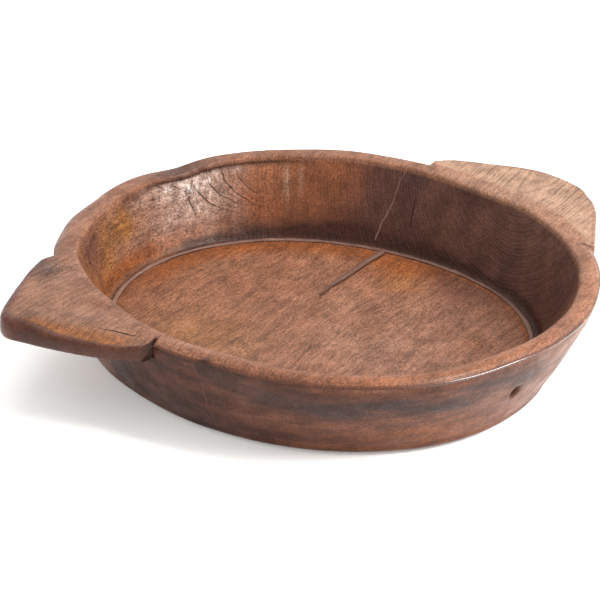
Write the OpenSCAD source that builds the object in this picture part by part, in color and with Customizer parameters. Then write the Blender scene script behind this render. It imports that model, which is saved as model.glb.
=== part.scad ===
// Carved wooden bowl with two lug handles.
// One log was hollowed into an oval bowl. Two opposite corners of the squared
// blank were left on as flat lugs, level with the rim. A split in the wood and
// the foot of the wall were stopped with putty.
// Origin: middle of the flat foot. +X runs from the left lug to the right lug.

/* [Rim] */
// Mean radius of the rim's outer edge
rim_radius = 188.5; // [150:0.5:240]
// How much the long half-axis exceeds the mean radius
rim_oval = 13.5; // [0:0.5:18]
// Direction of the long axis
rim_oval_turn = 102; // [0:1:180]
// How far the outline leans towards a square
rim_square = 2; // [0:0.2:4]
// Direction of one of the four soft corners
rim_square_turn = 80; // [0:1:90]
// Mean height of the rim above the foot
rim_height = 68.5; // [55:0.5:90]
// Tilt of the rim, the height gained on its high side
rim_tilt = 1.5; // [0:0.5:6]
// Direction of the high side
rim_tilt_turn = 334; // [0:1:360]
// Height of the rim's slow wave
rim_wave = 1; // [0:0.5:4]
// Direction of one of the three crests of the wave
rim_wave_turn = 48; // [0:1:120]
// Mean thickness of the wall at the rim
rim_thick = 16.5; // [12:0.5:20]
// How much thicker the wall is on its thick side
rim_thick_gain = 2; // [0:0.5:4]
// Direction of the thick side
rim_thick_turn = 92; // [0:1:360]
// Height of the bevelled rim edge
rim_bevel = 3.5; // [2.5:0.5:8]

/* [Foot and floor] */
// Mean radius of the outer wall at the foot
foot_radius = 158; // [125:0.5:200]
// How much the foot's long half-axis exceeds its mean radius
foot_oval = 13; // [0:0.5:18]
// Direction of the foot's long axis
foot_oval_turn = 109; // [0:1:180]
// Fullness of the outer wall, 1 is a straight slope
wall_belly = 1.25; // [1:0.05:1.8]
// Softened edge of the foot
foot_round = 7; // [3:1:12]
// Mean radius of the floor at the foot of the inner wall
floor_radius = 146.5; // [115:0.5:160]
// How much the floor's long half-axis exceeds its mean radius
floor_oval = 13.5; // [0:0.5:18]
// Direction of the floor's long axis
floor_oval_turn = 117; // [0:1:180]
// Thickness of the floor
floor_thick = 13; // [10:0.5:18]

/* [Lugs] */
// Thickness of a lug where it joins the wall
lug_thick = 13; // [10:0.5:18]
// Thickness of the left lug at its tip
left_tip_thick = 14.5; // [8:0.5:16]
// Thickness of the right lug at its tip
right_tip_thick = 10.5; // [8:0.5:16]
// How much higher a lug stands at its tip than at its root
lug_rise = 1.5; // [0:0.5:4]
// Softened edge of a lug
lug_edge = 3; // [1:0.5:4]
// Width of the saw cut left at the root of a lug
kerf = 2.6; // [1:0.2:4]

/* [Putty] */
// Width of the bead round the floor
bead_width = 5; // [3:0.5:7]
// How far the bead stands above the floor
bead_rise = 2; // [1:0.25:3]
// Gap between the bead and the foot of the wall
bead_gap = 4; // [2:0.5:6]
// Width of the split where it meets the wall
split_width = 6; // [3:0.5:8]
// Depth of the split in the floor
split_depth = 8; // [4:0.5:10]
// Width of the split in the walls
wall_split_width = 1.8; // [1:0.2:3]

/* [Hidden] */

steps = 72;          // stations round the bowl
proud = 0.4;         // putty stands this far above the wood
blade_depth = 6;     // how deep the wall splits are filled
foot_shift = [-7, 3];      // the foot and the floor lie a little off the rim's middle
floor_shift = [-3, 4.5];

// Corner spots of each lug: x, y, corner radius, share of the way to the tip
left_lug = [
    [-172, 80, 6.5, 0.3], [-197, 56, 6.5, 0.7], [-224.5, 8, 12, 1], [-192, -43.5, 6, 0.7], [-168.5, -62, 4, 0.3],
    [-152, 80, 6.5, 0], [-152, -58, 4, 0]];
right_lug = [
    [152.5, 96, 8.5, 0.3], [190, 48, 17, 0.8], [160, 10, 56.5, 1], [184, -25, 20, 0.8], [169, -71.5, 5, 0.3],
    [142, 88, 7.5, 0], [155, -66, 4.5, 0]];

// The split in the floor: x, y, share of its full width
floor_split = [
    [103, 91, 1], [94, 85, 0.95], [84, 80, 0.9], [74, 75, 0.8], [64, 69, 0.75],
    [53, 63, 0.65], [42, 57, 0.5], [31, 51, 0.35], [24, 46, 0.25], [18, 42, 0.12]];

wood = "#8a5a3c";
putty = "#6f6154";

function rim_r(a) =
    rim_radius + rim_oval * cos(2 * (a - rim_oval_turn)) + rim_square * cos(4 * (a - rim_square_turn));
function rim_z(a) =
    rim_height + rim_tilt * cos(a - rim_tilt_turn) + rim_wave * cos(3 * (a - rim_wave_turn));
function foot_r(a) = foot_radius + foot_oval * cos(2 * (a - foot_oval_turn));
function floor_r(a) = floor_radius + floor_oval * cos(2 * (a - floor_oval_turn));
function inner_top_r(a) = rim_r(a) - rim_thick - rim_thick_gain * cos(a - rim_thick_turn);

// Radius of the outer and the inner wall at a share t of the way from foot to rim
function outer_r(a, t) = foot_r(a) + (rim_r(a) - foot_r(a)) * (1 - pow(1 - t, wall_belly));
function inner_r(a, t) = floor_r(a) + (inner_top_r(a) - floor_r(a)) * t;

function outer_top_z(a) = rim_z(a) - rim_bevel;
function around(a, r, z, shift = [0, 0]) = [r * cos(a) + shift[0], r * sin(a) + shift[1], z];
function outer_point(a, t) = around(a, outer_r(a, t), t * outer_top_z(a), foot_shift * (1 - t));
function inner_point(a, t) =
    around(a, inner_r(a, t), floor_thick + (outer_top_z(a) - floor_thick) * t, floor_shift * (1 - t));

// The bowl's section at angle a, from the flat foot up the outside, over the rim and down to the floor
function section(a) = concat(
    [around(a, outer_r(a, 0) - foot_round, 0, foot_shift),
     around(a, outer_r(a, 0) - 0.3 * foot_round, 0.2 * foot_round, foot_shift)],
    [for (t = [0.1, 0.25, 0.4, 0.6, 0.8, 1]) outer_point(a, t)],
    [around(a, rim_r(a) - 1, rim_z(a) - 0.6 * rim_bevel),
     around(a, rim_r(a) - 6, rim_z(a)),
     around(a, inner_top_r(a) + 3, rim_z(a) - 0.4),
     around(a, inner_top_r(a) + 0.7, rim_z(a) - 2)],
    [for (t = [1, 0.75, 0.5, 0.25, 0.08]) inner_point(a, t)],
    [around(a, floor_r(a) - 1.5, floor_thick, floor_shift)]);

function bead_path_r(a) = floor_r(a) - bead_gap - bead_width / 2;
// The bead's section at angle a, a flattened round half sunk in the floor
function bead_section(a) =
    [for (s = [0:45:315])
        around(a, bead_path_r(a) + bead_width / 2 * cos(s), floor_thick + bead_rise * sin(s), floor_shift)];

// A closed skin over loops of points. wrap joins the last loop to the first.
module skin(loops, wrap = false) {
    count = len(loops[0]);
    last = len(loops) - (wrap ? 1 : 2);
    walls = [for (i = [0:last], j = [0:count - 1])
        let (k = (i + 1) % len(loops), n = (j + 1) % count)
        each [[i * count + j, k * count + j, k * count + n], [i * count + j, k * count + n, i * count + n]]];
    ends = wrap ? [] : [[for (j = [0:count - 1]) j], [for (j = [count - 1:-1:0]) (len(loops) - 1) * count + j]];
    polyhedron([for (loop = loops) each loop], concat(walls, ends));
}

// Loops run level round the bowl, one for each point of the section
module bowl_shell() {
    sections = [for (i = [0:steps - 1]) section(i * 360 / steps)];
    skin([for (k = [0:len(sections[0]) - 1]) [for (s = sections) s[k]]]);
}

module puck(radius, thick) {
    hull() {
        cylinder(r = radius - lug_edge, h = thick, $fn = 32);
        translate([0, 0, lug_edge]) cylinder(r = radius, h = thick - 2 * lug_edge, $fn = 32);
    }
}

// A flat lug whose top keeps level with the rim beside it. It ends in the middle of the wall.
module lug(spots, tip_thick) {
    difference() {
        hull()
            for (s = spots) {
                thick = lug_thick + (tip_thick - lug_thick) * s[3];
                top = rim_z(atan2(s[1], s[0])) - 0.5 + lug_rise * s[3];
                translate([s[0], s[1], top - thick]) puck(s[2], thick);
            }
        linear_extrude(height = 2 * rim_height)
            polygon([for (i = [0:steps - 1])
                let (a = i * 360 / steps, r = rim_r(a) - rim_thick / 2) [r * cos(a), r * sin(a)]]);
    }
}

// Saw cut across the root of a lug, let into the outer wall
module root_kerf(a, turn) {
    translate([rim_r(a) * cos(a), rim_r(a) * sin(a), rim_z(a) - lug_thick - 1])
        rotate([0, 0, turn]) translate([-5, -kerf / 2, 0]) cube([18, kerf, lug_thick + 4]);
}

module bead_ring() {
    skin([for (i = [0:steps - 1]) bead_section(-i * 360 / steps)], wrap = true);
}

module split_post(spot) {
    width = split_width * spot[2];
    translate([spot[0], spot[1], floor_thick - split_depth])
        cylinder(r1 = width / 5, r2 = width / 2, h = split_depth + proud, $fn = 8);
}

module floor_split_cut() {
    for (i = [0:len(floor_split) - 2])
        hull() {
            split_post(floor_split[i]);
            split_post(floor_split[i + 1]);
        }
}

// A thin upright slice of putty. It starts proud of the wall and runs blade_depth into it.
module blade(place, a, inward) {
    translate(place) rotate([0, 0, a])
        translate([inward ? -blade_depth : -proud, -wall_split_width / 2, -0.5])
            cube([blade_depth + proud, wall_split_width, 1]);
}

module back_wall_split() {
    turns = [43.5, 43, 42.5, 42, 41.5, 41, 40.5, 40, 39.5];
    for (i = [0:len(turns) - 2])
        hull()
            for (k = [i, i + 1]) blade(inner_point(turns[k], 0.1 + k / 9), turns[k], false);
}

module front_wall_split() {
    turns = [-143.6, -144.2, -144, -144.8, -144.9, -145.5, -146, -147, -147.6];
    for (i = [0:len(turns) - 2])
        hull()
            for (k = [i, i + 1]) blade(outer_point(turns[k], 0.1 + k / 9), turns[k], true);
}

module bowl_body() {
    color(wood)
        difference() {
            union() {
                bowl_shell();
                lug(left_lug, left_tip_thick);
                lug(right_lug, right_tip_thick);
            }
            root_kerf(-158.5, -158.5 + 8);
            root_kerf(-25, -25 - 8);
            bead_ring();
            floor_split_cut();
            back_wall_split();
            front_wall_split();
        }
}

module floor_edge_bead() {
    color(putty) bead_ring();
}

module floor_split_filler() {
    color(putty)
        difference() {
            floor_split_cut();
            bead_ring();
        }
}

module back_wall_split_filler() {
    color(putty) back_wall_split();
}

module front_wall_split_filler() {
    color(putty) front_wall_split();
}

bowl_body();
floor_edge_bead();
floor_split_filler();
back_wall_split_filler();
front_wall_split_filler();
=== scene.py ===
from functools import partial
import math

import bpy
import numpy as np
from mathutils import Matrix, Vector


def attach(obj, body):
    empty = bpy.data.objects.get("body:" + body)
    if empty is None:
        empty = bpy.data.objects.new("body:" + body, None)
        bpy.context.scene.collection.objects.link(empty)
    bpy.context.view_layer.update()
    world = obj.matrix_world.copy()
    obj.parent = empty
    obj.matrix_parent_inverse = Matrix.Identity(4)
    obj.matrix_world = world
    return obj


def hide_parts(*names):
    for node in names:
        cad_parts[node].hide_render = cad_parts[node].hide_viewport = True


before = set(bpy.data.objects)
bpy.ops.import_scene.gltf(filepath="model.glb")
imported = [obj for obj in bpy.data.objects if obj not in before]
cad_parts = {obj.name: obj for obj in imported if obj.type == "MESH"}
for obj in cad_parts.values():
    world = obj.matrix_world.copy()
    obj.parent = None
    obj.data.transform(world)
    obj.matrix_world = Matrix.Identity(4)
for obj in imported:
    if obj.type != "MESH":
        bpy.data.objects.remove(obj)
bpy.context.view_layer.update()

bl_info = {
    "name": "Carved Wooden Bowl",
    "version": (1, 0, 0),
    "blender": (4, 5, 0),
    "location": "View3D > Sidebar > Bowl",
    "description": "Carves an oval bowl with two lug handles out of one log and stops its splits with putty",
    "category": "Add Mesh",
}

MM = 0.001

# ---------------------------------------------------------------- sizes and colours


class BowlSizes(bpy.types.PropertyGroup):
    """Driving sizes of the bowl, the same as the solid model's but for the bead, which looks narrower."""
    rim_radius: bpy.props.FloatProperty(
        name="Rim Radius", description="Mean radius of the rim's outer edge",
        default=0.1885, min=0.15, max=0.24, unit="LENGTH")
    rim_oval: bpy.props.FloatProperty(
        name="Rim Oval", description="How much the long half-axis exceeds the mean radius",
        default=0.0135, min=0, max=0.018, unit="LENGTH")
    rim_oval_turn: bpy.props.FloatProperty(
        name="Rim Oval Turn", description="Direction of the rim's long axis",
        default=math.radians(102), subtype="ANGLE")
    rim_height: bpy.props.FloatProperty(
        name="Rim Height", description="Mean height of the rim above the foot",
        default=0.0685, min=0.055, max=0.09, unit="LENGTH")
    rim_thick: bpy.props.FloatProperty(
        name="Rim Thickness", description="Mean thickness of the wall at the rim",
        default=0.0165, min=0.012, max=0.02, unit="LENGTH")
    rim_bevel: bpy.props.FloatProperty(
        name="Rim Bevel", description="Height of the bevelled rim edge",
        default=0.0035, min=0.0025, max=0.008, unit="LENGTH")
    foot_radius: bpy.props.FloatProperty(
        name="Foot Radius", description="Mean radius of the outer wall at the foot",
        default=0.158, min=0.125, max=0.2, unit="LENGTH")
    floor_radius: bpy.props.FloatProperty(
        name="Floor Radius", description="Mean radius of the floor at the foot of the inner wall",
        default=0.1465, min=0.115, max=0.16, unit="LENGTH")
    floor_thick: bpy.props.FloatProperty(
        name="Floor Thickness", description="Thickness of the floor",
        default=0.013, min=0.01, max=0.018, unit="LENGTH")
    lug_thick: bpy.props.FloatProperty(
        name="Lug Thickness", description="Thickness of a lug where it joins the wall",
        default=0.013, min=0.01, max=0.018, unit="LENGTH")
    bead_width: bpy.props.FloatProperty(
        name="Bead Width", description="Width of the putty bead round the floor",
        default=0.0038, min=0.003, max=0.007, unit="LENGTH")
    grain_turn: bpy.props.FloatProperty(
        name="Grain Direction", description="Direction of the log the bowl was hollowed from",
        default=math.radians(30), subtype="ANGLE")


class BowlColours(bpy.types.PropertyGroup):
    """Colours of the finishes, and of the painted shade and highlights laid with them, as sRGB hex."""
    wood: bpy.props.StringProperty(
        name="Oiled Wood", description="Brown of the oiled wood, between the patches", default="#7d5139")
    # Also laid as painted light on the outer wall's front-right.
    rosy: bpy.props.StringProperty(
        name="Rosy Wood", description="Dry, rubbed wood", default="#83604f")
    # Also laid as painted bounce light from the floor, low on the outer wall's front.
    amber: bpy.props.StringProperty(
        name="Amber", description="Wood that has soaked up oil", default="#7f4724")
    honey: bpy.props.StringProperty(
        name="Honey", description="Yellower oiled wood", default="#875a30")
    # Also laid as painted shade: on the right inner wall, on the outer wall's left side and on the floor
    # beside the right wall.
    aged_and_shade: bpy.props.StringProperty(
        name="Aged End Grain", description="End grain that has drunk oil and turned purple-brown",
        default="#4c3029")
    # Also laid as painted shade low on the back inner wall and on the outer wall's left side, and thinned as
    # painted light on its right and low front.
    russet: bpy.props.StringProperty(
        name="Russet", description="Red-brown wood under old oil", default="#5c2d1a")
    # Also laid as painted highlights along two adze ridges of the back wall.
    bleached_and_highlight: bpy.props.StringProperty(
        name="Bleached Lug", description="Dry, sun-bleached wood", default="#9a7962")
    torn: bpy.props.StringProperty(
        name="Torn Grain", description="Open, greyed grain where the adze tore the wood", default="#967a6c")
    stain: bpy.props.StringProperty(
        name="Iron Stain", description="Blue-black stain in the wood", default="#30272a")
    # Also laid as painted shade: under the overhanging lip, at the foot of the inner walls, in the saw cuts
    # and on the outer wall's left side and foot.
    grime_and_shade: bpy.props.StringProperty(
        name="Grime", description="Old wax and dirt in the corners", default="#240c06")
    latewood: bpy.props.StringProperty(
        name="Latewood", description="Dark lines of growth rings and fibres", default="#3d2117")
    # Also the painted highlight along the crowns of the bead and of the putty strips.
    rubbed_putty_and_highlight: bpy.props.StringProperty(
        name="Rubbed Putty", description="Crown of the bead, rubbed by use", default="#8a6656")
    putty: bpy.props.StringProperty(
        name="Putty", description="Grey-brown filling putty", default="#59392c")
    pale_putty: bpy.props.StringProperty(
        name="Pale Putty", description="Light filling putty of the outer wall", default="#5c3626")
    floor: bpy.props.StringProperty(
        name="Studio Floor", description="Plain pale floor", default="#f6f5f3")


def size(name):
    """A driving size in millimetres."""
    return getattr(bpy.context.scene.bowl_sizes, name) / MM


def turn(name):
    """A driving angle in degrees."""
    return math.degrees(getattr(bpy.context.scene.bowl_sizes, name))


def linear(hex_colour):
    """An sRGB hex colour as linear RGBA."""
    parts = [int(hex_colour[i:i + 2], 16) / 255 for i in (1, 3, 5)]
    return [p / 12.92 if p <= 0.04045 else ((p + 0.055) / 1.055) ** 2.4 for p in parts] + [1.0]


def colour(name):
    return linear(getattr(bpy.context.scene.bowl_colours, name))


# ---------------------------------------------------------------- the bowl's shape, in mm and degrees

FLOOR_SHIFT = (-3.0, 4.5)       # middle of the floor
FOOT_SHIFT = (-7.0, 3.0)        # middle of the foot
FOOT_ROUND = 7.0
WALL_BELLY = 1.25               # above 1, the outer wall leans out most at its foot
KNOT = (-78, 37.5)              # angle and height of the knot hole in the outer wall
BACK_DIP = 97                   # angle of the dip in the rim, above the torn grain
BEVEL_WIDTH = 6.5
BEVEL_START = 1.3               # how far in from the widest line the rim's bevel starts
LIP_ROUND = 3.5                 # how far the rim's inner edge is rounded
UNDERCUT = (62, 76, 103, 112)   # angles where the adze has undercut the lip: from, full from, full to, to
WALL_FOOT = 2.5                 # height above the floor at which the inner wall ends in the gutter
BEAD_IN = 6.5                   # how far in from the wall's foot the middle of the bead lies
# The gutter the bead lies in: inward from the wall's foot and up from the floor
GUTTER = [(0.9, 0.9), (1.9, -0.2), (3.0, -0.7), (4.2, -0.9), (6.5, -1.1), (8.2, -0.5), (9.4, 0.0)]
# Outline of each lug: angle and radius
LEFT_LUG = [(152.6, 188), (154, 197), (159.5, 205), (165, 213), (170.5, 224), (174.5, 234), (177, 238.5),
            (179, 236.6), (181, 229.5), (185.8, 218), (193.8, 201), (201.2, 184)]
RIGHT_LUG = [(-24.7, 187.5), (-23.5, 189), (-15.5, 197), (-8, 208.5), (-4, 213.5), (1.7, 217.6), (7, 217.3),
             (12.8, 215), (17, 209.5), (23.6, 198.5), (31.6, 189.5), (34.4, 183)]
LUG_ROUND = 3.0
LUG_LENGTH = 45                 # how far beyond the rim a lug reaches its tip's thickness
LEFT_CUT = (-159.1, -158.2)     # the saw cut at the near root of the left lug, from and to
RIGHT_CUT = (-24.7, -23.7)
CUT_DEPTH = 3.2
NEAR_EDGE_DROP = 3.6            # how far the hand has worn down the near edge of the left lug


def cos_deg(a):
    return np.cos(np.radians(a))


def sin_deg(a):
    return np.sin(np.radians(a))


def apart(a, b):
    """Angle from b to a, between -180 and 180."""
    return (np.asarray(a) - b + 180) % 360 - 180


def bump(distance, reach):
    """A soft hill, 1 at no distance and fading out over the reach."""
    return np.exp(-(np.asarray(distance) / reach) ** 2)


def step(value, low, high):
    """0 below low, 1 above high, smooth between."""
    share = np.clip((np.asarray(value, float) - low) / (high - low), 0, 1)
    return share * share * (3 - 2 * share)


def between(value, low, full, still, high):
    """A soft plateau, which rises from low to full and falls from still to high."""
    return step(value, low, full) * (1 - step(value, still, high))


def rough(points, grain_size, seed):
    """Smooth random field from -1 to 1 over points in millimetres, with hills of grain_size."""
    spot = np.asarray(points, float) / grain_size
    cell = np.floor(spot)
    part = spot - cell
    part = part * part * (3 - 2 * part)
    total = 0.0
    for corner in np.ndindex(2, 2, 2):
        at = cell + corner
        wild = np.sin(at[..., 0] * 127.1 + at[..., 1] * 311.7 + at[..., 2] * 74.7 + seed * 53.3)
        value = (wild * 43758.5453) % 1.0
        weight = np.prod(np.where(corner, part, 1 - part), axis=-1)
        total = total + value * weight
    return total * 2 - 1


def rim_r(a):
    uneven = -2.5 * bump(apart(a, BACK_DIP), 6) + 3.0 * bump(apart(a, 147), 9) + 2.0 * bump(apart(a, 131), 7)
    wobble = 0.5 * cos_deg(7 * a + 40) + 0.35 * cos_deg(11 * a - 25) + 0.2 * cos_deg(19 * a)
    return (size("rim_radius") + size("rim_oval") * cos_deg(2 * a - 2 * turn("rim_oval_turn"))
            + 2.0 * cos_deg(4 * (a - 80)) + uneven + wobble)


def rim_z(a):
    uneven = -1.9 * bump(apart(a, BACK_DIP), 6) + 1.2 * bump(apart(a, 116), 9)
    wobble = 0.3 * cos_deg(6 * a + 70) + 0.25 * cos_deg(13 * a)
    return size("rim_height") + 1.5 * cos_deg(a - 334) + 1.0 * cos_deg(3 * (a - 48)) + uneven + wobble


def foot_r(a):
    spots = ((-172, 12, -1.2), (-45, 12, -2.5), (-88, 12, 2.0), (-120, 45, 2.4))
    uneven = sum(height * bump(apart(a, at), reach) for at, reach, height in spots)
    return size("foot_radius") + 13.0 * cos_deg(2 * (a - 109)) + uneven


def floor_r(a):
    return size("floor_radius") + 13.5 * cos_deg(2 * (a - 117))


def mouth_r(a):
    return rim_r(a) - size("rim_thick") - 2.0 * cos_deg(a - 92) + 0.4 * cos_deg(9 * a + 15)


def place(a, r, z, shift=(0.0, 0.0)):
    """Points at angle a and radius r, moved by shift."""
    a, r, z = np.broadcast_arrays(a, r, z)
    return np.stack([r * cos_deg(a) + shift[0], r * sin_deg(a) + shift[1], z + 0.0 * a], axis=-1)


def crease_z(a):
    return rim_z(a) - size("rim_bevel")


def lip_z(a):
    """Height at which the inner wall meets the rounded inner edge of the rim."""
    return rim_z(a) - LIP_ROUND


# Ridges between the adze cuts on the inner wall, and how deep each cut after a ridge is
ADZE_RIDGES = [-176, -163, -149, -137, -122, -109, -97, -84, -70, -57, -45, -33, -21, -8, 5, 18, 29, 36,
               46, 57, 66, 70, 79, 87, 97, 104, 114, 124, 133, 143, 153, 165, 176]
ADZE_DEPTHS = [0.5, 0.8, 0.6, 0.5, 0.7, 0.6, 0.5, 0.6, 0.5, 0.4, 0.5, 0.4, 0.3, 0.3, 0.3, 0.3, 0.4, 0.4,
               0.6, 0.7, 0.4, 0.9, 1.0, 1.1, 0.8, 1.0, 0.9, 0.9, 1.0, 0.9, 0.8, 0.7, 0.5]


def adze(a):
    """How far the adze cuts scoop the inner wall outwards."""
    a = apart(a, 0)
    scoop = np.zeros_like(a)
    for i, ridge in enumerate(ADZE_RIDGES):
        width = (ADZE_RIDGES[(i + 1) % len(ADZE_RIDGES)] - ridge) % 360
        share = ((a - ridge) % 360) / width
        scoop = np.where(share < 1, ADZE_DEPTHS[i] * 4 * share * (1 - share), scoop)
    return scoop


def torn_patch(a, t):
    """1 where the grain is torn out of the inner wall at the back, 0 elsewhere."""
    return between(a, 79, 93, 97, 112) * step(t, 0.25, 0.5)


def inner_point(a, t):
    """A point of the inner wall, a share t of the way from the floor to the lip."""
    a, t = np.broadcast_arrays(np.asarray(a, float), np.asarray(t, float))
    r = floor_r(a) + (mouth_r(a) - floor_r(a)) * t
    z = size("floor_thick") + (lip_z(a) - size("floor_thick")) * t
    spot = place(a, r, z)
    cuts = adze(a + 3 * t) * np.sin(np.pi * np.clip(t, 0, 1)) ** 0.6
    tear = torn_patch(apart(a, 0), t) * (0.5 + 0.9 * rough(spot, 7, 3) + 0.5 * rough(spot, 3.5, 4))
    undercut = 1.8 * bump(t - 0.96, 0.06) * between(apart(a, 0), *UNDERCUT)
    dents = 0.35 * rough(spot, 14, 5) + 0.6 * rough(spot, 45, 6)
    r = r + (cuts + tear + dents + undercut) * np.clip(t * 6, 0, 1)
    return place(a, r, z, [shift * (1 - t) for shift in FLOOR_SHIFT])


def wall_foot(a):
    """Where the inner wall ends in the gutter: its share of the height, and its radius."""
    t = WALL_FOOT / (lip_z(a) - size("floor_thick"))
    foot = inner_point(a, t)
    return t, np.hypot(foot[:, 0] - FLOOR_SHIFT[0], foot[:, 1] - FLOOR_SHIFT[1])


def outer_point(a, t):
    """A point of the outer wall, a share t of the way from the foot to the crease."""
    a, t = np.broadcast_arrays(np.asarray(a, float), np.asarray(t, float))
    swell = 1 - (1 - np.clip(t, 0, 1)) ** WALL_BELLY
    r = foot_r(a) + (rim_r(a) - foot_r(a)) * swell
    z = crease_z(a) * t
    spot = place(a, r, z)
    r = r + (0.7 * rough(spot, 38, 7) + 0.3 * rough(spot, 12, 8)) * np.sin(np.pi * np.clip(t, 0, 1)) ** 0.5
    beside, above = apart(a, KNOT[0]) * 3.3, z - KNOT[1]     # in millimetres from the knot
    r = r - 7.5 * bump(np.hypot(beside / 3.6, above / 4.8), 1.0) ** 2     # its hole
    r = r + 0.6 * bump(np.hypot(beside / 9, above / 12), 1.0)     # and the swollen wood round it
    return place(a, r, z, [shift * (1 - t) for shift in FOOT_SHIFT])


def outline_r(a, outline):
    """Radius of a lug's outline at angle a, its corners a little rounded."""
    angles, radii = zip(*outline)
    return sum(np.interp(a + off, angles, radii) for off in (-0.9, 0, 0.9)) / 3


def lug_r(a):
    """Radius of the lugs' outline, or 0 where there is no lug."""
    a = apart(a, 0)
    left = np.where((a > LEFT_LUG[0][0]) | (a < LEFT_CUT[0]), outline_r(a % 360, LEFT_LUG), 0)
    right = np.where((a < RIGHT_LUG[-1][0]) & (a > RIGHT_CUT[1]), outline_r(a, RIGHT_LUG), 0)
    return np.maximum(left, right)


def in_cut(a):
    """1 in the saw cuts, 0 elsewhere."""
    a = apart(a, 0)
    left = (a > LEFT_CUT[0]) & (a < LEFT_CUT[1])
    right = (a > RIGHT_CUT[0]) & (a < RIGHT_CUT[1])
    return (left | right).astype(float)


# Where the points of a ring crowd together: angle, reach and how much closer they lie
CROWDED = [(-158.6, 2.5, 5), (-24.2, 2.5, 4), (153.4, 1.8, 5), (34.8, 1.2, 5), (-78.2, 4, 2), (52, 14, 1),
           (89, 10, 0.8), (33, 3, 1), (-145, 4, 1)]
SHARP = [*LEFT_CUT, *RIGHT_CUT]


def stations(count):
    """Angles round the bowl, closer together where the shape changes fast."""
    fine = np.linspace(-180, 180, 7201)
    density = np.ones_like(fine)
    for centre, reach, times in CROWDED:
        density += times * bump(apart(fine, centre), reach)
    passed = np.concatenate([[0], np.cumsum((density[1:] + density[:-1]) / 2)])
    angles = np.interp(np.linspace(0, passed[-1], count + 1), passed, fine)
    for edge in SHARP:
        after = int(np.searchsorted(angles, edge))
        angles[after - 1], angles[after] = edge - 0.02, edge + 0.02
    return angles


def blend(first, second, share):
    """Points that are first where the share is 0 and second where it is 1."""
    return first * (1 - share)[:, None] + second * share[:, None]


def quarter_turn(first, last, s):
    """Points a share s of the way round an edge that leaves first level and meets last upright."""
    out, up = math.sin(s * math.pi / 2), 1 - math.cos(s * math.pi / 2)
    return first + (last - first) * np.array([out, out, up])


def on_floor(points):
    """Moves points at the floor's mean height onto its gentle waves."""
    points[..., 2] += 0.45 * rough(points, 50, 14) + 0.15 * rough(points, 16, 15)
    return points


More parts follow.
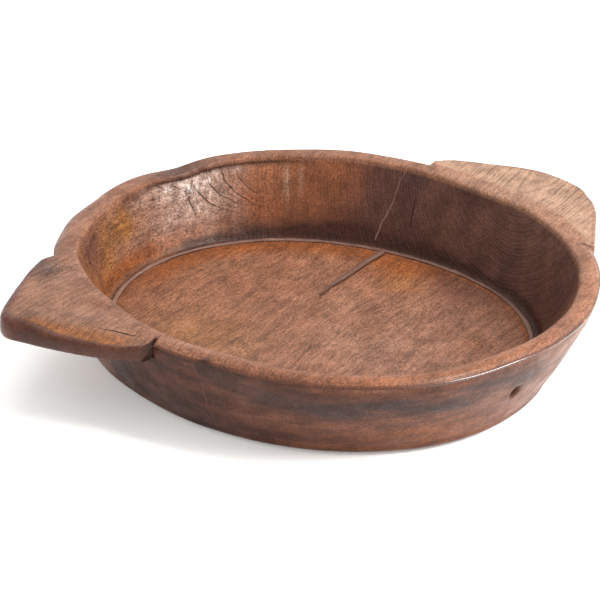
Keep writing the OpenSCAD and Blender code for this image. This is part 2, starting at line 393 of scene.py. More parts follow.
def body_rings(a):
    """Rings of points from the middle of the foot, up the outside, over the rim and down to the floor's
    middle. Each ring comes with the name of its zone and its share of the way through it, in the gutter its
    distance from the wall's foot."""
    rings = []

    def ring(zone, share, points):
        rings.append((zone, share, points))

    foot_edge = foot_r(a) - FOOT_ROUND
    for s in np.linspace(0, 1, 9):
        ring("under", s, place(a, foot_edge * s, 0.0, FOOT_SHIFT))
    wall_start = FOOT_ROUND / crease_z(a)
    for s in np.linspace(0, 1, 6)[1:]:
        ring("foot", s, quarter_turn(rings[8][2], outer_point(a, wall_start), s))
    under_z = rim_z(a) - size("lug_thick") - 0.5
    wall_end = under_z / crease_z(a)
    for s in np.linspace(0, 1, 27)[1:]:
        ring("outer", s, outer_point(a, wall_start + (wall_end - wall_start) * s))

    reach = np.maximum(lug_r(a), rim_r(a))
    is_lug = step(reach - rim_r(a), 0.3, 2.0)
    cut = in_cut(a)
    root = np.hypot(*np.moveaxis(outer_point(a, wall_end)[:, :2], -1, 0))
    out_share = np.clip((reach - rim_r(a)) / LUG_LENGTH, 0, 1)
    on_left = (np.abs(apart(a, 0)) > 90).astype(float)
    tip_thick = size("lug_thick") + (2.0 * on_left - 2.5 * (1 - on_left)) * out_share
    top_edge_z = rim_z(a) + (1.0 + 1.2 * (1 - on_left)) * out_share
    low_edge_z = top_edge_z - tip_thick
    handled = NEAR_EDGE_DROP * step(apart(a, 180), 0, 7) * (1 - 0.7 * step(apart(a, 180), 17, 22))
    slot_r = rim_r(a) - CUT_DEPTH
    for s in np.linspace(0, 1, 11)[1:]:
        wall_t = wall_end + (0.98 - wall_end) * s
        wall = outer_point(a, wall_t)
        r = root + (reach - LUG_ROUND - root) * s
        z = under_z + (low_edge_z - under_z) * s - 1.2 * math.sin(math.pi * s) * out_share
        slot = place(a, rim_r(a) - CUT_DEPTH * step(s, 0, 0.25), crease_z(a) * wall_t)
        ring("lug_under", s, blend(blend(wall, place(a, r, z), is_lug), slot, cut))

    # Round the edge of a lug, or over the crease below the rim's bevel. Each spot is outward and up, for a
    # lug from its underside, its middle or its top, and for the crease from its line.
    worn = 1.0 + 0.8 * bump(apart(a, 179), 9)
    base = {"under": low_edge_z, "middle": (low_edge_z + top_edge_z) / 2, "top": top_edge_z - handled}
    lug_edge = [(-0.9, 0.9, "under"), (-0.1, 2.6, "under"), (-0.05, 0, "middle"), (-0.45, -1.3, "top"),
                (-1.4, -0.35, "top"), (-LUG_ROUND, 0, "top")]
    crease = [(-0.12, -0.75), (0.0, -0.3), (0.0, 0.05), (-0.25, 0.4), (-0.7, 0.75), (-BEVEL_START, 1.1)]
    for k, ((out, up, side), (crease_out, crease_up)) in enumerate(zip(lug_edge, crease)):
        wear = worn if side == "top" else 1.0
        points = blend(place(a, rim_r(a) + crease_out, crease_z(a) + crease_up),
                       place(a, reach + out * wear, base[side] + up * wear), is_lug)
        ring("edge", k / 5, blend(points, place(a, slot_r, crease_z(a) + crease_up), cut))

    # The top of a lug, or the rim's bevel, which is a worn facet that rounds off inwards
    bevel_end = rim_r(a) - BEVEL_WIDTH
    edge_r = reach - LUG_ROUND * worn
    for s in np.linspace(0, 1, 13)[1:]:
        r = edge_r + (bevel_end - edge_r) * s
        z = top_edge_z + (rim_z(a) - top_edge_z) * s
        points = place(a, r, z - handled * bump(edge_r - r, 11))
        points[..., 2] += (0.5 * rough(points, 24, 11) + 0.2 * rough(points, 8, 12)) * is_lug
        climb = np.interp(s, [0, 0.45, 1], [0, 0.6, 1])
        rise = crease_z(a) + 1.1 + (size("rim_bevel") - 1.1) * climb
        bevel = place(a, rim_r(a) - BEVEL_START - (BEVEL_WIDTH - BEVEL_START) * s, rise)
        ring("top", s, blend(blend(bevel, points, is_lug), place(a, slot_r - 1.5 * s, rise), cut))
    for s in np.linspace(0, 1, 5)[1:]:
        points = place(a, bevel_end + (mouth_r(a) + LIP_ROUND - bevel_end) * s, rim_z(a) - 0.4 * s * s)
        points[..., 2] += 0.25 * rough(points, 16, 13)
        ring("rim", s, points)
    rim_end = rings[-1][2]
    for s in np.linspace(0, 1, 6)[1:]:
        ring("lip", s, quarter_turn(rim_end, inner_point(a, 1.0), s))

    low_t, foot_radius = wall_foot(a)
    for s in np.linspace(0, 1, 33)[1:]:
        ring("inner", 1 - s, inner_point(a, 1 - s * (1 - low_t)))
    for inward, up in GUTTER:
        ring("gutter", inward, place(a, foot_radius - inward, size("floor_thick") + up, FLOOR_SHIFT))
    for s in np.linspace(0, 1, 35)[1:]:
        r = (foot_radius - GUTTER[-1][0]) * (1 - s)
        points = on_floor(place(a, r, size("floor_thick"), FLOOR_SHIFT))
        points[..., 2] -= floor_split_groove(points)
        ring("floor", s, points)
    return rings


# The unfilled end of the split in the floor: x, y and how dark it is
FLOOR_CHECK = [(22, 45, 0.35), (8, 30, 0.15), (-5, 9, 0.05), (-20, -15, 0.1), (-27, -27, 0.3),
               (-40, -37, 0.4), (-52, -46, 0.25), (-66, -57, 0.0)]

# Cracks in the top of the left lug: x, y and how dark
LUG_CHECKS = [[(-172, 70, 0.4), (-182, 61, 0.7), (-192, 51, 0.5), (-197, 45, 0.0)],
              [(-157, 65, 0.3), (-170, 62, 0.6), (-184, 56, 0.4), (-190, 50, 0.0)],
              [(-163, 58, 0.2), (-176, 52, 0.5), (-184, 44, 0.0)],
              [(-186, -33, 0.3), (-181, -38, 0.9), (-177, -43, 1.0), (-172, -49, 1.0), (-167, -54, 0.0)]]

# Cracks that climb the inner wall where its grain is torn: angle, share of height and how dark
WALL_CHECKS = [
    [(94.8, 0.94, 0.3), (95.6, 0.86, 0.9), (97.2, 0.66, 0.9), (96.2, 0.46, 0.6), (96.6, 0.34, 0.0)],
    [(95.4, 0.9, 0.8), (94.0, 0.7, 0.9), (91.5, 0.5, 0.7), (88.0, 0.38, 0.3), (84.0, 0.3, 0.0)],
    [(91.0, 0.96, 0.3), (91.0, 0.8, 0.7), (88.5, 0.6, 0.6), (84.5, 0.45, 0.4), (80.0, 0.36, 0.0)],
    [(87.2, 0.98, 0.4), (87.0, 0.8, 0.8), (84.6, 0.6, 0.6), (80.5, 0.42, 0.5), (77.0, 0.34, 0.0)],
    [(84.0, 0.98, 0.3), (83.4, 0.8, 0.5), (80.8, 0.62, 0.4), (77.0, 0.46, 0.0)],
    [(100.5, 0.9, 0.6), (98.5, 0.82, 0.7), (97.0, 0.74, 0.4), (96.5, 0.7, 0.0)],
    [(106.0, 0.98, 0.4), (103.5, 0.88, 0.6), (102.0, 0.84, 0.3), (100.0, 0.8, 0.0)]]

# The split in the floor: x, y and full width
FLOOR_SPLIT = [(97.5, 87.5, 6.0), (92, 84, 5.8), (84, 80, 5.4), (74, 75, 4.8), (64, 69, 4.5),
               (53, 63, 3.9), (42, 57, 3.0), (31, 51, 2.1), (24, 46, 1.5), (18, 42, 0.7)]


def split_distance(points, path):
    """Signed distance from a path of (x, y, width) spots, and the path's width there."""
    best = np.full(points.shape[:-1], 1e9)
    signed = np.full(points.shape[:-1], 1e9)
    width = np.zeros(points.shape[:-1])
    for (x0, y0, w0), (x1, y1, w1) in zip(path[:-1], path[1:]):
        side = np.array([x1 - x0, y1 - y0])
        span = side @ side
        dx, dy = points[..., 0] - x0, points[..., 1] - y0
        share = np.clip((dx * side[0] + dy * side[1]) / span, 0, 1)
        off = np.hypot(dx - share * side[0], dy - share * side[1])
        sign = np.sign(dx * side[1] - dy * side[0])
        closer = off < best
        best = np.where(closer, off, best)
        signed = np.where(closer, off * sign, signed)
        width = np.where(closer, w0 + (w1 - w0) * share, width)
    return signed, width


def floor_split_groove(points):
    """Depth of the groove that the floor's filler lies in."""
    signed, width = split_distance(points, FLOOR_SPLIT)
    return 2.2 * step(width / 2 + 0.7 - np.abs(signed), 0, 1.2)


# ---------------------------------------------------------------- tones and fields of the wood

# Colours laid over the plain wood, one after the other; some also carry painted shade, light and highlights
TONES = ("rosy", "amber", "honey", "aged_and_shade", "russet", "bleached_and_highlight", "torn", "stain", "grime_and_shade")
# What the wood's material reads apart from its colour
FIELDS = ("torn", "check_distance", "check_strength", "ring_show", "fibre_show", "polish")
NO_CHECK = 20.0         # distance in millimetres at which no drying check shows
MM_PER_DEGREE = 3       # along the wall, roughly
CHECK_SPREAD = (2.8, 52)     # millimetres to a degree and to the inner wall's height, for the cracks there


def patch(a, t, spots):
    """Soft patches at (angle, share of height, angular reach, reach in height, strength)."""
    return sum(strength * bump(np.hypot(apart(a, at_a) / wide, (t - at_t) / tall), 1.0)
               for at_a, at_t, wide, tall, strength in spots)


def crack(fields, points, paths):
    """Lets the nearest of these paths of (x, y, how dark) take over the drying check's fields."""
    for path in paths:
        distance, strength = split_distance(points, path)
        closer = np.abs(distance) < np.abs(fields["check_distance"])
        fields["check_distance"] = np.where(closer, distance, fields["check_distance"])
        fields["check_strength"] = np.where(closer, strength, fields["check_strength"])


def wood_fields(zone, share, a, points):
    """The tones of one ring of the body, each from 0 to 1, and its fields: how strongly torn grain, rings,
    fibres and polish show, and how far the nearest drying check is in millimetres and how dark. Some tones
    also paint shade, light and highlights."""
    a = apart(a, 0)
    nothing = np.zeros_like(a)
    f = {name: nothing.copy() for name in TONES + FIELDS}
    x, y = points[:, 0], points[:, 1]
    r = np.hypot(x, y)
    arc = a * MM_PER_DEGREE
    level = np.stack([arc / 4.5, points[:, 2], nothing + r / 4.5], axis=-1)     # drawn out along the wall
    smear = 0.6 * rough(level, 7, 41) + 0.4 * rough(level, 3, 42)
    loose = 0.6 * rough(points, 26, 43) + 0.4 * rough(points, 11, 44)
    steep = rough(np.stack([arc, points[:, 2] / 5, nothing], axis=-1), 5, 45)     # drawn out up the wall
    f["check_distance"] += NO_CHECK
    f["ring_show"] += 0.5
    f["fibre_show"] += 0.5
    beyond_rim = r - rim_r(a)
    on_right_lug = step(beyond_rim, -3, 1.5) * (np.abs(a) < 60)
    on_left_lug = step(beyond_rim, -2, 3) * (np.abs(a) > 120)
    at_a, at_t = a + 2.5 * loose, share + 0.07 * smear
    if zone == "inner":
        f["rosy"] = 0.3 + 0.5 * loose - 0.3 * between(a, 40, 60, 72, 84) + patch(at_a, at_t, [
            (112, 0.4, 14, 0.3, 0.8), (102, 0.6, 8, 0.3, 0.5), (-170, 0.6, 16, 0.5, 0.4)])
        f["amber"] = 0.6 * np.clip(steep, 0, 1) * step(a, 125, 140) + patch(at_a, at_t, [
            (122, 0.05, 24, 0.15, 1.0), (150, 0.1, 20, 0.35, 0.9), (64, 0.6, 14, 0.8, 0.9),
            (77, 0.3, 7, 0.5, 0.6), (52, 0.7, 7, 0.4, 0.5), (-176, 0.25, 20, 0.5, 0.6),
            (160, 0.6, 6, 0.4, 0.5)])
        f["honey"] = (1 + 0.8 * steep) * patch(at_a, at_t, [
            (121, 0.66, 6, 0.28, 0.8), (129, 0.45, 5, 0.3, 0.6), (147, 0.55, 4, 0.35, 0.6),
            (138, 0.3, 6, 0.2, 0.3)])
        # Redder and darker toward the foot of the back wall: dirt and painted shade.
        f["russet"] = 0.55 * bump(at_t, 0.3) * between(a, 40, 60, 84, 100)
        # On the right the end grain is darkened by oil and painted in shade, on the side away from the key
        # light.
        end_grain = between(a, -62, -35, 44, 60)
        f["aged_and_shade"] = end_grain * (0.88 + 0.2 * loose) + 0.5 * np.clip(-steep, 0, 1) * step(a, 125, 140)
        f["aged_and_shade"] += patch(at_a, at_t, [
            (62, 0.5, 16, 0.8, 0.4), (150, 0.5, 30, 0.5, 0.2), (136, 0.8, 8, 0.2, 0.5),
            (156, 0.8, 8, 0.25, 0.5), (175, 0.7, 10, 0.3, 0.4)])
        f["torn"] = np.clip(0.85 * torn_patch(at_a, at_t) + 0.8 * bump(at_t - 0.86, 0.14) * step(a, 88, 98)
                            * (1 - step(at_a, 110, 120)), 0, 1) * np.clip(0.85 + 0.5 * loose, 0, 1)
        f["stain"] = patch(at_a, at_t, [
            (110, 0.96, 7, 0.06, 0.5), (137, 0.7, 3, 0.2, 0.35), (36, 0.9, 5, 0.12, 0.5)])
        # Painted highlights along two adze ridges of the back wall.
        f["bleached_and_highlight"] = patch(a, share + 0.04 * smear, [
            (71.2, 0.7, 0.8, 0.24, 0.7), (67.7, 0.74, 0.6, 0.2, 0.5)])
        # Darker toward the foot of the right and back walls, dirt and painted shade; painted shade under the
        # overhanging lip; two small dark marks.
        f["grime_and_shade"] = (bump(at_t, 0.08 + 0.14 * bump(apart(a, 55), 24)) * between(a, -60, -35, 95, 112)
                      + 0.45 * bump(at_t, 0.35) * between(a, -30, 40, 70, 90)
                      + 0.9 * bump(share - 0.97, 0.035) * between(a, *UNDERCUT)
                      + patch(a, share, [(107.3, 0.78, 1.0, 0.04, 0.9), (133.7, 0.82, 1.0, 0.04, 0.9)]))
        f["ring_show"] = 0.15 + (0.6 * end_grain + 0.15 * between(a, 44, 60, 72, 92)) * (1 + 0.6 * loose)
        f["fibre_show"] = 0.45 + 0.25 * step(np.abs(a), 60, 100)
        f["polish"] = 0.5 * bump(at_t - 0.75, 0.25) * between(a, 62, 84, 112, 124)
        f["check_distance"] = np.radians(a - 33 - 2.5 * share) * r     # a check beside the filled split
        f["check_strength"] = 0.9 * between(share, 0.24, 0.32, 0.62, 0.74) * (a < 50)
        wide, tall = CHECK_SPREAD
        crack(f, np.stack([a * wide, nothing + share * tall], axis=-1),
              [[(at * wide, high * tall, dark) for at, high, dark in path] for path in WALL_CHECKS])
    elif zone == "gutter":
        shaded = 0.15 + 0.85 * between(a, -60, -30, 92, 118)
        f["amber"] += 0.2 + 0.6 * shaded
        f["grime_and_shade"] = shaded * step(7.5 - share, 0, 3) + 0.4 * bump(share - 4, 2)
    elif zone == "floor":
        from_edge = share * floor_r(a) + 4 * loose
        back = between(a, -10, 25, 112, 135)
        f["rosy"] = 0.35 + 0.7 * loose + 0.4 * bump(np.hypot(x - 20, y + 60), 70)
        f["amber"] = (0.1 + 0.2 * loose + (0.1 + 0.75 * back) * (1 - step(from_edge, 6, 32))
                      + 0.6 * bump(np.hypot(x - 88, y - 52), 26) + 0.2 * bump(np.hypot(x + 60, y - 80), 50))
        f["honey"] = (0.2 * loose + 0.6 * bump(np.hypot(x + 95, y - 20), 45)
                      + 0.5 * bump(np.hypot(x - 82, y - 30), 16))
        # Darker beside the right wall as painted shade of that wall, clouded at random; the floor's edge by
        # the gutter is darker too.
        f["aged_and_shade"] = 0.55 * bump(np.hypot(x - 115, (y + 5) / 1.4), 36) + 0.25 * rough(points, 38, 46)
        f["grime_and_shade"] = 0.5 * bump(share * floor_r(a), 3.5)
        f["check_distance"], f["check_strength"] = split_distance(points, FLOOR_CHECK)
        f["ring_show"] -= 0.3
        f["fibre_show"] += 0.1
    elif zone in ("foot", "outer", "lug_under"):
        t = points[:, 2] / crease_z(a)
        at_t = t + 0.08 * smear
        # side marks the outer wall's left side, away from the key light, where darker tones are laid as
        # painted shade.
        side = step(-a, 95, 165)
        streaky = rough(level, 2.6, 47)
        # Russet: more on the left and less on the right as painted shade and light, less low on the front as
        # painted bounce light from the floor.
        f["russet"] = (0.55 + 0.25 * side + 0.5 * smear - 0.35 * step(a, -100, -60) + 0.2 * bump(t, 0.3)
                       - 0.5 * bump(np.hypot(apart(a, -98) / 24, (t - 0.2) / 0.2), 1.0))
        # Rosy wood: more on the front-right as painted light.
        f["rosy"] = 0.15 + 0.4 * smear + 0.6 * step(a, -100, -60) * step(-a, 0, 40)
        # Amber: the broad patch low on the front is painted bounce light from the floor.
        f["amber"] = 0.45 + 0.7 * smear + patch(at_a, at_t, [
            (-150, 0.75, 8, 0.12, 0.5), (-98, 0.22, 25, 0.16, 1.0)])
        # The purple-brown end-grain tone: more on the left and less on the front-right as painted shade and
        # light, less low from the front round to the right as painted bounce light.
        f["aged_and_shade"] = (0.4 + 0.3 * side - 0.3 * step(a, -100, -60) + 0.45 * smear + 0.3 * streaky
                     + 0.3 * bump(at_t - 0.55, 0.2) - 0.5 * bump(t, 0.4) * step(a, -135, -110))
        f["stain"] = (1 + 0.5 * streaky) * patch(at_a, at_t, [
            (-117, 0.67, 8, 0.11, 1.3), (-106, 0.77, 7, 0.09, 1.1), (-130, 0.78, 9, 0.1, 1.0),
            (-96, 0.66, 9, 0.1, 0.8), (-88, 0.84, 7, 0.12, 0.9), (-141, 0.9, 4, 0.08, 0.8),
            (-78.5, 0.72, 5, 0.14, 0.95)])
        # The darkest tone: more on the left, and at the foot where the wall meets the floor, as painted
        # shade; streaks of dirt; the knot hole and a few small marks darker.
        f["grime_and_shade"] = (0.12 + 0.65 * step(-a, 88, 150) * (0.75 + smear) + 0.35 * np.clip(streaky, 0, 1)
                      + 0.4 * bump(t, 0.03))
        f["grime_and_shade"] += patch(a, t, [
            (-78, 0.56, 1.3, 0.08, 1.0), (-135.2, 0.2, 1.5, 0.012, 0.5), (-144.8, 0.95, 1.8, 0.07, 0.9)])
        f["ring_show"] -= 0.2
        if zone == "lug_under":
            # Darker under the lugs.
            f["aged_and_shade"] = np.clip(f["aged_and_shade"] + 0.6 * step(beyond_rim, 0, 4), 0, 1)
            f["grime_and_shade"] += 0.5 * step(beyond_rim, 0, 4)
    elif zone == "edge":
        f["aged_and_shade"] = np.where(beyond_rim > 1.5, 0.95, 0.5) * (1 - 0.8 * on_right_lug)
        f["bleached_and_highlight"] = 0.6 * on_right_lug
        # Darker at the top of the front split, and on the lower half of the edge's rounding at the front and
        # left.
        f["grime_and_shade"] = bump(apart(a, -144.8), 1.5) + (
            (0.6 + 0.4 * loose) * (1 - on_right_lug) * step(-a, 20, 40) * (0.25 + 0.75 * (share < 0.5)))
        f["russet"] = 0.4 * (1 - on_right_lug)
        f["polish"] = 0.3 + 0.7 * step(a, -114, -96) * step(-a, 50, 66)
        f["amber"] = 0.6 * on_right_lug
    elif zone in ("top", "rim", "lip"):
        inward = np.maximum(lug_r(a), rim_r(a)) - r
        near_left = step(-a, 158, 164) + step(a, 176, 180)
        far_left = between(a, 150, 153, 160, 168)
        f["rosy"] = 0.6 + 0.5 * loose
        handled = near_left * on_left_lug * step(236 - r, -2, 6) * step(-a, 160, 168)
        strip = 1.3 * bump(inward - 6, 8) * handled     # dark with oil, along the lug's near edge
        f["amber"] = patch(a, beyond_rim / 16, [(-115, -0.4, 30, 0.5, 0.4), (-60, -0.6, 25, 0.6, 0.1)])
        f["amber"] += 0.2 + 0.25 * on_left_lug * (1 + loose) + 1.3 * strip * (1 + 0.3 * loose)
        f["honey"] = 0.3 * on_left_lug * np.clip(loose, 0, 1) + 0.35 * strip
        f["polish"] = bump(beyond_rim + 2.4, 1.8) * step(a, -114, -96) * step(-a, 50, 66)
        f["bleached_and_highlight"] = ((0.95 + 0.1 * loose) * on_right_lug + 0.25 * on_left_lug * (1 - strip)
                         + 0.4 * bump(apart(a, 5), 30) * (r > 150))
        f["aged_and_shade"] = (on_left_lug * (0.55 * bump(inward, 5) * step(a, 150, 170) + 0.2 * (1 - strip))
                     + 0.5 * far_left * bump(beyond_rim - 8, 9)
                     + patch(a, beyond_rim / 16, [(97, -0.3, 9, 0.6, 0.8), (-128, -0.1, 16, 0.25, 0.5)]))
        f["stain"] = (0.6 * bump(inward, 4) * on_left_lug * step(a, 170, 176)
                      + 0.55 * far_left * bump(beyond_rim - 12, 8) * np.clip(0.6 + smear, 0, 1)
                      + patch(a, beyond_rim / 16, [(-144.5, -0.05, 1.3, 0.2, 1.0), (98, -0.9, 8, 0.3, 0.7)]))
        f["grime_and_shade"] = 0.35 * np.clip(smear, 0, 1) * on_left_lug
        crack(f, points, LUG_CHECKS)
        f["ring_show"] -= 0.3 * (1 - on_right_lug) * (1 - on_left_lug)
        f["fibre_show"] -= 0.05 * on_left_lug + 0.22 * on_right_lug
    else:
        f["aged_and_shade"] += 0.6
    # Painted shade and dirt darken the saw cuts.
    f["grime_and_shade"] = np.maximum(f["grime_and_shade"], 0.95 * in_cut(a) * (zone in ("lug_under", "edge", "top")))
    return {name: nothing + value for name, value in f.items()}


def tint(fields):
    """The tones laid over the plain wood, as linear RGBA."""
    shade = np.ones(fields["grime_and_shade"].shape)[..., None] * np.array(colour("wood"))
    for name in TONES:
        share = np.clip(fields[name], 0, 1)[..., None]
        shade = shade * (1 - share) + np.array(colour(name)) * share
    return shade


# ---------------------------------------------------------------- mesh making

RING_STEPS = 13         # points round the section of a bead or strip of putty, the first one twice
BACK_SPLIT_R = 165      # how far from the middle the splits in the walls lie
FRONT_SPLIT_R = 175


def sheet(name, points):
    """A mesh over a grid of points in millimetres, given as (rows, columns, 3)."""
    rows, columns = points.shape[:2]
    bpy.ops.object.select_all(action="DESELECT")
    bpy.ops.mesh.primitive_grid_add(x_subdivisions=columns - 1, y_subdivisions=rows - 1, size=1)
    piece = bpy.context.object
    piece.name = piece.data.name = name
    piece.data.vertices.foreach_set("co", (points.reshape(-1, 3) * MM).ravel())
    return piece


def close_up(piece):
    """Merges the seam and the poles and points the faces outwards."""
    bpy.ops.object.select_all(action="DESELECT")
    piece.select_set(True)
    bpy.context.view_layer.objects.active = piece
    bpy.ops.object.mode_set(mode="EDIT")
    bpy.ops.mesh.select_all(action="SELECT")
    bpy.ops.mesh.remove_doubles(threshold=0.000002)
    bpy.ops.mesh.normals_make_consistent(inside=False)
    bpy.ops.object.mode_set(mode="OBJECT")
    bpy.ops.object.shade_smooth()
    piece.data.update()


def add_field(piece, name, values):
    """Puts a number on every point of the piece, for its material to read."""
    field = piece.data.attributes.new(name, "FLOAT", "POINT")
    field.data.foreach_set("value", np.asarray(values, np.float32).ravel())


def finish_piece(piece, node, material):
    piece.data.materials.clear()
    piece.data.materials.append(material)
    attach(piece, "root")
    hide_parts(node)


# ---------------------------------------------------------------- materials

HEART = (-0.070, 0.098)     # the log's heart runs level above the bowl, this far to the side and this high
DRIFT = 0.012               # how far the growth rings wander


def node(tree, kind, inputs=(), out=0, **settings):
    """Adds a shader node and returns one of its outputs. Inputs are values or links, in order or by name."""
    made = tree.nodes.new("ShaderNode" + kind)
    for name, value in settings.items():
        setattr(made, name, value)
    for key, value in (inputs.items() if isinstance(inputs, dict) else enumerate(inputs)):
        if isinstance(value, bpy.types.NodeSocket):
            tree.links.new(value, made.inputs[key])
        else:
            made.inputs[key].default_value = value
    return made.outputs[out] if len(made.outputs) else None


def new_material(name):
    """An empty material, and the call that adds a node to it."""
    material = bpy.data.materials.new(name)
    material.use_nodes = True
    material.node_tree.nodes.clear()
    return material, partial(node, material.node_tree)


def per_mm(width):
    """Noise scale for features this many millimetres wide."""
    return 1 / (width * MM)


def ring_scale(spacing):
    """Wave scale for rings this many millimetres apart."""
    return math.pi / 10 / (spacing * MM)


def oiled_hardwood():
    """Hand-carved hardwood, oiled and waxed for years: growth rings about the log's heart and fine fibres
    along it, over the tones that oil, sun, iron and dirt have left on each part of the bowl, and the painted
    shade, light and highlights laid in with them."""
    material, add = new_material("oiled_hardwood")
    spot = add("TexCoord", out="Object")
    log = add("Mapping", {"Vector": spot, "Rotation": (0, 0, -math.radians(turn("grain_turn"))),
                          "Location": (0, -HEART[0] - DRIFT / 2, -HEART[1] - DRIFT / 2)})
    drift = add("TexNoise", {"Vector": log, "Scale": per_mm(60), "Detail": 2.0}, out="Color")
    drifted = add("VectorMath", [drift, (0, DRIFT, DRIFT), log], operation="MULTIPLY_ADD")
    field = {name: add("Attribute", out="Fac", attribute_name=name) for name in FIELDS}
    tone = add("Attribute", out="Color", attribute_name="tint")

    # Growth rings 4.8 mm wide, with fine lines 2.3 mm apart between them
    waves = {"out": "Fac", "wave_type": "RINGS", "rings_direction": "X"}
    rings = add("TexWave", {"Vector": drifted, "Scale": ring_scale(4.8), "Distortion": 1.2, "Detail": 2.0,
                            "Detail Scale": 1.6}, wave_profile="SAW", **waves)
    lines = add("TexWave", {"Vector": drifted, "Scale": ring_scale(2.3), "Distortion": 1.6, "Detail": 1.0,
                            "Detail Scale": 2.0}, **waves)
    # Fibres 1.5 mm wide and 15 mm long, short flecks of wax that also stand in as painted glints of raised
    # fibre, and broader streaks, then an even mottling
    noises = []
    grains = ((0.1, 1.5, 3.0, 0.75), (0.7, 1.3, 2.0, 0.7), (0.12, 6.0, 3.0, 0.5))
    for stretch, width, detail, roughness in grains:
        way = add("Mapping", {"Vector": drifted, "Scale": (stretch, 1, 1)})
        noises.append(add("TexNoise", {"Vector": way, "Scale": per_mm(width), "Detail": detail,
                                       "Roughness": roughness}))
    fibres, flecks, streaks = noises
    mottle = add("TexNoise", {"Vector": spot, "Scale": per_mm(18), "Detail": 5.0, "Roughness": 0.65})

    # Each pattern darkens or lightens the tone under it. A MapRange lists its value, from and to.
    late = add("MapRange", [rings, 0.55, 0.95])
    fine = add("MapRange", [lines, 0.45, 0.9])
    ring_tone = add("Math", [fine, 0.9, late], operation="MULTIPLY_ADD")
    ring_tone = add("Math", [ring_tone, field["ring_show"]], operation="MULTIPLY")
    patchy = add("MapRange", [mottle, 0.35, 0.65, 0.55, 1.25])
    ring_tone = add("Math", [ring_tone, patchy], operation="MULTIPLY", use_clamp=True)
    band = add("MapRange", [streaks, 0.48, 0.72, 0.0, 0.7])
    dark = add("MapRange", [fibres, 0.52, 0.36])
    for pattern, share in ((ring_tone, 0.55), (band, field["fibre_show"]), (dark, field["fibre_show"])):
        share = add("Math", [pattern, share], operation="MULTIPLY")
        tone = add("Mix", {0: share, 6: tone, 7: colour("latewood")}, out=2, data_type="RGBA")
    # The flecks lighten and darken the tone; their pale parts are wax and painted glints of raised fibre.
    pale = add("MapRange", [flecks, 0.3, 0.7, -0.8, 0.9])
    pale = add("Math", [pale, field["fibre_show"], 1.0], operation="MULTIPLY_ADD")
    dull = add("MapRange", [mottle, 0.35, 0.7, 1.2, 0.7])
    dull = add("Math", [dull, pale], operation="MULTIPLY")
    tone = add("VectorMath", {0: tone, "Scale": dull}, operation="SCALE")

    # Cracks of the torn grain: thin dark lines where a slow noise crosses its middle
    tear_way = add("Mapping", {"Vector": spot, "Scale": (1, 1, 0.3)})
    tears = add("TexNoise", {"Vector": tear_way, "Scale": per_mm(11), "Detail": 2.0, "Distortion": 0.3})
    tears = add("Math", [tears, 0.5], operation="SUBTRACT")
    tears = add("Math", [tears], operation="ABSOLUTE")
    tears = add("MapRange", [tears, 0.02, 0.004, 0.0, 0.3])
    tears = add("Math", [tears, field["torn"]], operation="MULTIPLY")

    # Drying checks: dark lines about 1 mm wide that wander by 0.8 mm about the mapped distance
    wander = add("TexNoise", {"Vector": spot, "Scale": per_mm(9), "Detail": 2.0})
    line = add("Math", [wander, 1.6, field["check_distance"]], operation="MULTIPLY_ADD")
    line = add("Math", [line, 0.8], operation="SUBTRACT")
    line = add("Math", [line], operation="ABSOLUTE")
    line = add("MapRange", [line, 0.7, 0.25], interpolation_type="SMOOTHSTEP")
    line = add("Math", [line, field["check_strength"]], operation="MULTIPLY")
    line = add("Math", [line, tears], operation="MAXIMUM")
    tone = add("Mix", {0: line, 6: tone, 7: colour("grime_and_shade")}, out=2, data_type="RGBA")

    # Relief in millimetres: proud latewood, open fibres, small dents, sunk checks; flatter where polished
    relief = add("Math", [ring_tone, 0.12], operation="MULTIPLY")
    for pattern, height in ((fibres, 0.3), (mottle, 0.9), (line, -0.9)):
        relief = add("Math", [pattern, height, relief], operation="MULTIPLY_ADD")
    flat = add("MapRange", [field["polish"], 0.0, 1.0, 1.0, 0.2])
    relief = add("Math", [relief, flat], operation="MULTIPLY")
    normal = add("Bump", {"Strength": 0.9, "Distance": MM, "Height": relief})
    gloss = add("MapRange", [mottle, 0.35, 0.65, 0.3, 0.5])
    gloss = add("Math", [field["polish"], -0.24, gloss], operation="MULTIPLY_ADD")
    # A coat of wax where hands have polished the rim, over warm, dull oil
    wax = add("Math", [field["polish"], 2.0], operation="POWER")
    shader = add("BsdfPrincipled", {"Base Color": tone, "Roughness": gloss, "Normal": normal,
                                    "Coat Weight": wax, "Coat Roughness": 0.16, "IOR": 1.5,
                                    "Specular IOR Level": 0.22, "Specular Tint": (1.0, 0.82, 0.72, 1.0)})
    add("OutputMaterial", {"Surface": shader})
    return material


def filling_putty(name, shade):
    """Filling putty pressed in by hand: matt and gritty, dirty in smears, paler on its crown, from wear and
    a painted highlight.
    """
    material, add = new_material(name)
    spot = add("TexCoord", out="Object")
    crown = add("Attribute", out="Fac", attribute_name="crown")
    grit = add("TexNoise", {"Vector": spot, "Scale": per_mm(1.2), "Detail": 3.0})
    smear = add("TexNoise", {"Vector": spot, "Scale": per_mm(14), "Detail": 3.0})
    dirt = add("MapRange", [smear, 0.4, 0.7, 0.0, 0.6])
    tone = add("Mix", {0: dirt, 6: colour(shade), 7: colour("latewood")}, out=2, data_type="RGBA")
    # The pale crown, wear and a painted highlight, broken up by grit.
    rubbed_and_highlight = add("Math", [crown, grit], operation="MULTIPLY")
    tone = add("Mix", {0: rubbed_and_highlight, 6: tone, 7: colour("rubbed_putty_and_highlight")}, out=2, data_type="RGBA")
    relief = add("Math", [grit, 0.35, smear], operation="MULTIPLY_ADD")
    normal = add("Bump", {"Strength": 0.7, "Distance": MM, "Height": relief})
    shader = add("BsdfPrincipled", {"Base Color": tone, "Roughness": 0.6, "Normal": normal})
    add("OutputMaterial", {"Surface": shader})
    return material


# ---------------------------------------------------------------- operators

